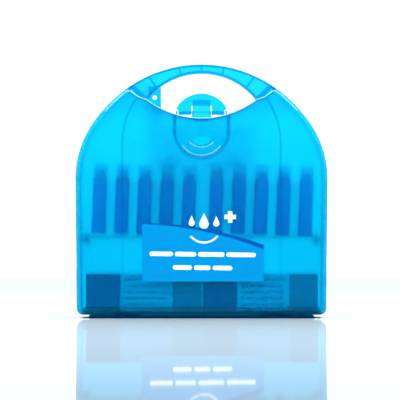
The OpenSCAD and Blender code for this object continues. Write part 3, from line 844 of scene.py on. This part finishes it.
def rounded_bar(x0, x1, z0, z1, r):
    """A bar with rounded ends."""
    t = np.linspace(0, math.pi / 2, 7)
    r = min(r, (z1 - z0) / 2, (x1 - x0) / 2)
    corners = [(x1 - r, z1 - r, 0), (x1 - r, z0 + r, 1), (x0 + r, z0 + r, 2), (x0 + r, z1 - r, 3)]
    quarters = []
    for cx, cz, k in corners:
        turn = t + k * math.pi / 2
        quarters.append(np.stack([cx + r * np.sin(turn), cz + r * np.cos(turn)], -1))
    return np.concatenate(quarters)


def join(parts):
    """Several sets of points and faces as one."""
    v, f, offset = [], [], 0
    for verts, faces in parts:
        v.append(np.asarray(verts))
        f += [[k + offset for k in face] for face in faces]
        offset += len(verts)
    return np.concatenate(v), f


def tilt(points, degrees, cx=0.0, cz=66.0):
    """Points turned clockwise about a place on the sticker."""
    c, s = math.cos(math.radians(degrees)), math.sin(math.radians(degrees))
    p = np.asarray(points, float) - [cx, cz]
    return np.stack([p[:, 0] * c + p[:, 1] * s, p[:, 1] * c - p[:, 0] * s], -1) + [cx, cz]


def drop(cx, cz, r, tip):
    """A water drop: a circle whose two tangents meet at a tip above it."""
    a = math.acos(r / tip)
    t = np.linspace(a, 2 * math.pi - a, 33)
    round_part = np.stack([cx + r * np.sin(t), cz + r * np.cos(t)], -1)
    return np.concatenate([[[cx, cz + tip]], round_part])


def make_sticker_print():
    """Pictures in white: rows of bars in place of words, three drops over a shallow basin, and a cross."""
    back, front = FRONT + 0.02, label_low[1] + 0.002
    bare = FRONT - 0.07
    parts = []
    for cx, cz, r, tip in ((2.5, 94.6, 4.6, 11.0), (-9.8, 95.6, 3.0, 7.4), (14.8, 95.0, 3.0, 7.4)):
        parts.append(prism(drop(cx, cz, r, tip), back, bare))
    t = np.radians(np.linspace(-52, 52, 25))
    a, b = ribbon(np.stack([2.5 + 17.0 * np.sin(t), 93.0 - 17.0 * np.cos(t)], -1), 1.8)
    parts.append(band_solid(a, b, back, front))
    w, t = 5.7, 2.15
    cross = np.array([
        [-t, w], [t, w], [t, t], [w, t], [w, -t], [t, -t],
        [t, -w], [-t, -w], [-t, -t], [-w, -t], [-w, t], [-t, t],
    ]) + [28.7, 101.6]
    parts.append(prism(cross, back, bare))
    words = {
        (59.0, 69.3): ((-52, -28.5), (-26.6, -5.3), (-3.5, 23.0), (24.8, 54.3)),
        (46.1, 55.4): ((-28.5, -9.5), (-7.4, 9.3), (11.4, 31.0)),
    }
    for (z0, z1), row in words.items():
        mid = (z0 + z1) / 2
        for x0, x1 in row:
            bar = rounded_bar(x0, x1, mid - 2.2, mid + 2.2, 2.2)
            parts.append(prism(tilt(bar, 0.7), back, front))
    return raw_mesh("sticker_print_mesh", *join(parts))


def cover_surface_y(points):
    """Where the cover's rounded front edge lies in y at points in x and z."""
    edge = outline(0.0)
    far = np.sqrt(((points[:, None, :] - edge[None, :, :]) ** 2).sum(-1)).min(1)
    d = np.clip(far - 0.75, 0.0, FRONT_ROUND)
    return FRONT + FRONT_ROUND - np.sqrt(FRONT_ROUND ** 2 - (FRONT_ROUND - d) ** 2)


def soften(points, times=2):
    """Cuts each corner of an open line at a quarter and three quarters of its stretches."""
    p = np.asarray(points, float)
    for _ in range(times):
        a, b = p[:-1], p[1:]
        cut = np.stack([a * 0.75 + b * 0.25, a * 0.25 + b * 0.75], 1).reshape(-1, 2)
        p = np.concatenate([p[:1], cut, p[-1:]])
    return p


def make_cover_highlight_lip():
    """A narrow bead along the cover's top edge, whose whiter finish paints the edge's highlight: the hollow
    circle, the knee, the rise and the shoulder.
    """
    t = np.linspace(0, math.asin(GRIP_CORNER_X / EDGE_R), 25)
    r = EDGE_R + 0.55
    hollow = np.stack([r * np.sin(t), EDGE_CENTRE - r * np.cos(t)], -1)
    knee = np.array([KNEE_X, KNEE_Z - 0.55])
    rim = outline(3.0)
    rim = rim[: len(rim) // 2 + 1]
    rise = rim[:, 1] - (knee[1] + (rim[:, 0] - knee[0]) * SHOULDER_RISE)
    rim = rim[(rise < -1.2) & (rim[:, 1] > 206)]
    steps = np.linspace(0, 1, 6)[:-1, None]
    meet_x = 72.4
    meet = np.array([meet_x, knee[1] + (meet_x - knee[0]) * SHOULDER_RISE])
    to_knee = hollow[-1:] + (knee - hollow[-1]) * steps
    to_meet = knee + (meet - knee) * steps
    right = soften(np.concatenate([hollow[:-1], to_knee, to_meet, rim]))
    path = np.concatenate([right[:0:-1] * [-1, 1], right])
    a, b = ribbon(path, 0.8)
    back, front = cover_surface_y(a) + 0.35, cover_surface_y(path) - 0.16
    return raw_mesh("cover_highlight_lip_mesh", *band_solid(a, b, back, front))


def arc_highlight_lip(cz, r, from_deg, to_deg, width, y, proud):
    """A narrow bead along a circle's arc, on a surface at y."""
    t = np.radians(np.linspace(from_deg, to_deg, 41))
    a, b = ribbon(np.stack([r * np.sin(t), cz + r * np.cos(t)], -1), width)
    return band_solid(a, b, y + 0.2, y - proud)


def make_recess_highlight_lips():
    """The rounded rims at the bottom of the recess and of its finger dimple, as beads whose whiter finish
    paints their highlights.
    """
    parts = [arc_highlight_lip(RECESS_Z, RECESS_HALF - 3.0, 128, 232, 0.8, RECESS_FLOOR, 0.35),
             arc_highlight_lip(RECESS_Z, DIMPLE_R, 132, 228, 0.7, RECESS_FLOOR, 0.3)]
    return raw_mesh("recess_highlight_lips_mesh", *join(parts))


def make_sticker():
    """A rectangle under a wide arc that falls away to the right, as thin as film."""
    x = np.linspace(LABEL_LEFT, LABEL_RIGHT, 61)
    z = LABEL_ARC_TOP - LABEL_ARC_R + np.sqrt(LABEL_ARC_R ** 2 - (x - LABEL_ARC_X) ** 2)
    top = np.stack([x, z], -1)
    r = 1.5
    t = np.linspace(math.pi / 2, math.pi, 6)
    right = np.stack([LABEL_RIGHT - r + r * np.sin(t), LABEL_LOW + r + r * np.cos(t)], -1)
    left = np.stack([LABEL_LEFT + r - r * np.sin(t[::-1]), LABEL_LOW + r + r * np.cos(t[::-1])], -1)
    return raw_mesh("sticker_mesh", *prism(np.concatenate([top, right, left]), FRONT - 0.18, FRONT + 0.02))


place("sticker", make_sticker(), label_finish, "cover", ["label"])
# painted highlight: the whiter bead along the cover's top edge
place("cover_highlight_lip", make_cover_highlight_lip(), highlight_lip_finish, "cover", smooth_angle=60)
# painted highlight: the whiter beads at the recess's and dimple's rims
place("recess_highlight_lips", make_recess_highlight_lips(), highlight_lip_finish, "cover", smooth_angle=60)
place("sticker_print", make_sticker_print(), print_finish, "cover", smooth_angle=40)


# ---------------------------------------------------------------- floor, light and camera
def make_floor():
    """A wide pale gloss floor with a painted contact shadow: dark and less glossy under the case."""
    corners = [[-9000, -6000, 0], [9000, -6000, 0], [9000, 14000, 0], [-9000, 14000, 0]]
    mesh = raw_mesh("floor_mesh", corners, [[0, 1, 2, 3]])
    floor = bpy.data.objects.new("floor", mesh)
    scene.collection.objects.link(floor)
    m = bpy.data.materials.new("floor_finish")
    m.use_nodes = True
    tree = m.node_tree
    tree.nodes.clear()
    out = tree.nodes.new("ShaderNodeOutputMaterial")
    mix = tree.nodes.new("ShaderNodeMixShader")
    white = tree.nodes.new("ShaderNodeBsdfDiffuse")
    sep = tree.nodes.new("ShaderNodeSeparateXYZ")
    link(tree, tree.nodes.new("ShaderNodeTexCoord").outputs["Object"], sep.inputs[0])
    # painted shadow: the floor under the case is coloured dark navy and made less glossy
    across = fade(tree, math_node(tree, "ABSOLUTE", sep.outputs[0]), HALF - 5, HALF - 9)
    under = times(tree, across, fade(tree, sep.outputs[1], FRONT + 0.5, FRONT + 4))
    under = times(tree, under, fade(tree, sep.outputs[1], BACK - 2, BACK - 6))
    link(tree, mix_colour(tree, under, (0.57, 0.69, 0.76, 1), (0.0, 0.04, 0.09, 1)), white.inputs[0])
    link(tree, minus(tree, 0.52, times(tree, under, 0.47)), mix.inputs[0])
    shine = tree.nodes.new("ShaderNodeBsdfGlossy")
    shine.inputs["Roughness"].default_value = 0.02
    link(tree, white.outputs[0], mix.inputs[1])
    link(tree, shine.outputs[0], mix.inputs[2])
    far = tree.nodes.new("ShaderNodeVectorMath")
    far.operation = "LENGTH"
    link(tree, tree.nodes.new("ShaderNodeTexCoord").outputs["Object"], far.inputs[0])
    ramp = tree.nodes.new("ShaderNodeMapRange")
    ramp.interpolation_type = "SMOOTHSTEP"
    ramp.inputs["From Min"].default_value = 2.3
    ramp.inputs["From Max"].default_value = 4.5
    ramp.inputs["To Min"].default_value = 0.0
    ramp.inputs["To Max"].default_value = 0.6
    link(tree, far.outputs["Value"], ramp.inputs["Value"])
    glow = tree.nodes.new("ShaderNodeEmission")
    seen = tree.nodes.new("ShaderNodeLightPath").outputs["Is Camera Ray"]
    link(tree, times(tree, ramp.outputs[0], seen), glow.inputs["Strength"])
    add = tree.nodes.new("ShaderNodeAddShader")
    link(tree, mix.outputs[0], add.inputs[0])
    link(tree, glow.outputs[0], add.inputs[1])
    link(tree, add.outputs[0], out.inputs[0])
    mesh.materials.append(m)


def make_world():
    """Even white studio light, weaker in front of the case; what the camera sees directly is plain white."""
    world = bpy.data.worlds.new("studio")
    scene.world = world
    world.use_nodes = True
    tree = world.node_tree
    back = tree.nodes["Background"]
    coord = tree.nodes.new("ShaderNodeTexCoord").outputs["Generated"]
    sep = tree.nodes.new("ShaderNodeSeparateXYZ")
    link(tree, coord, sep.inputs[0])
    ramp = tree.nodes.new("ShaderNodeMapRange")
    ramp.interpolation_type = "SMOOTHSTEP"
    ramp.inputs["From Min"].default_value = -0.9
    ramp.inputs["From Max"].default_value = -0.1
    ramp.inputs["To Min"].default_value = 0.3
    ramp.inputs["To Max"].default_value = 1.4
    link(tree, sep.outputs[1], ramp.inputs["Value"])
    seen = tree.nodes.new("ShaderNodeLightPath").outputs["Is Camera Ray"]
    strength = math_node(tree, "MAXIMUM", ramp.outputs[0], seen)
    link(tree, strength, back.inputs["Strength"])
    back.inputs["Color"].default_value = (1, 1, 1, 1)


def area_light(name, place_at, look_at, size, power):
    """A soft box aimed at a point, in metres, which the camera does not see."""
    data = bpy.data.lights.new(name, "AREA")
    data.shape = "RECTANGLE"
    data.size, data.size_y = size
    data.energy = power
    o = bpy.data.objects.new(name, data)
    scene.collection.objects.link(o)
    o.location = place_at
    o.visible_camera = False
    o.rotation_euler = (Vector(look_at) - Vector(place_at)).to_track_quat("-Z", "Y").to_euler()
    return o


make_floor()
make_world()
area_light("left_box", (-1.3, -0.7, 0.7), (0, 0, 0.12), (0.5, 1.0), 9)
area_light("right_box", (1.3, -0.7, 0.7), (0, 0, 0.12), (0.5, 1.0), 9)
area_light("front_top_box", (0, -1.2, 1.4), (0, 0, 0.1), (1.4, 0.7), 16)

camera = bpy.data.cameras.new("camera")
camera.sensor_width = 36
camera.lens = 450
eye = bpy.data.objects.new("camera", camera)
scene.collection.objects.link(eye)
eye.location = (-0.0015, FRONT * MM - 5.0, 0.1185)
eye.rotation_euler = (math.pi / 2, 0, 0)
scene.camera = eye

scene.view_settings.view_transform = "Standard"
scene.cycles.use_denoising = True
scene.cycles.denoising_input_passes = "RGB"
scene.cycles.sample_clamp_indirect = 3.0
scene.cycles.blur_glossy = 1.0
scene.cycles.max_bounces = 24
scene.cycles.transmission_bounces = 24
scene.cycles.diffuse_bounces = 5
scene.cycles.glossy_bounces = 6
